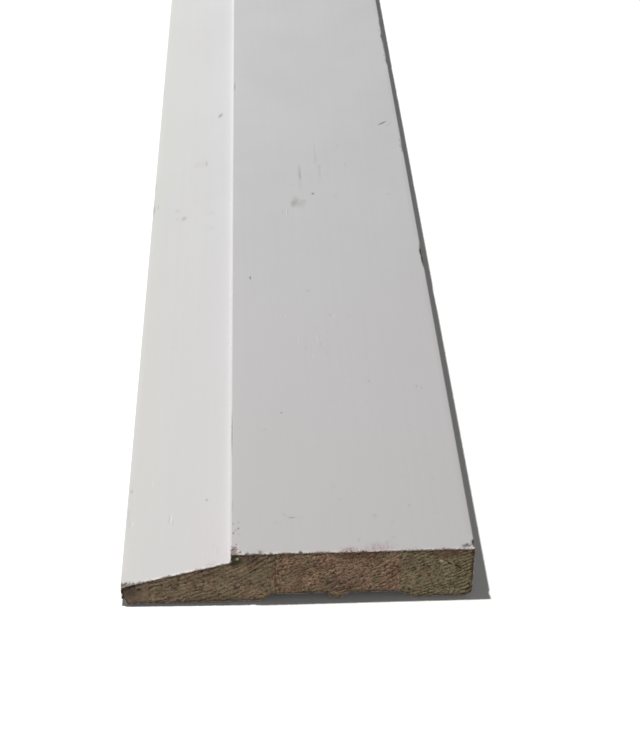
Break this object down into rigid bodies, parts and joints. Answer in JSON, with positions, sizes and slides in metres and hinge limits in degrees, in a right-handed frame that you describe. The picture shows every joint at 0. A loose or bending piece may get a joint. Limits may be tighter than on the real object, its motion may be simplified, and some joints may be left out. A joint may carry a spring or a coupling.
{
  "type": "casing moulding",
  "caption": "Length of primed pine casing moulding that trims a door or window opening: bevelled inner face, small step, flat outer face and a grooved back.",
  "frame": {"origin": "under the middle of the board, on the plane of its back", "axes": "+X across the width from the thin inner edge to the thick outer edge, +Y along the board away from the worn end, +Z out of the face"},
  "size_m": [0.0888, 0.4, 0.0159],
  "materials": {
    "primed_pine": "matt off-white primer on the face, edges and back; bare sawn pine at the cut ends"
  },
  "bodies": {
    "root": {"casing": "primed_pine"}
  },
  "joints": []
}
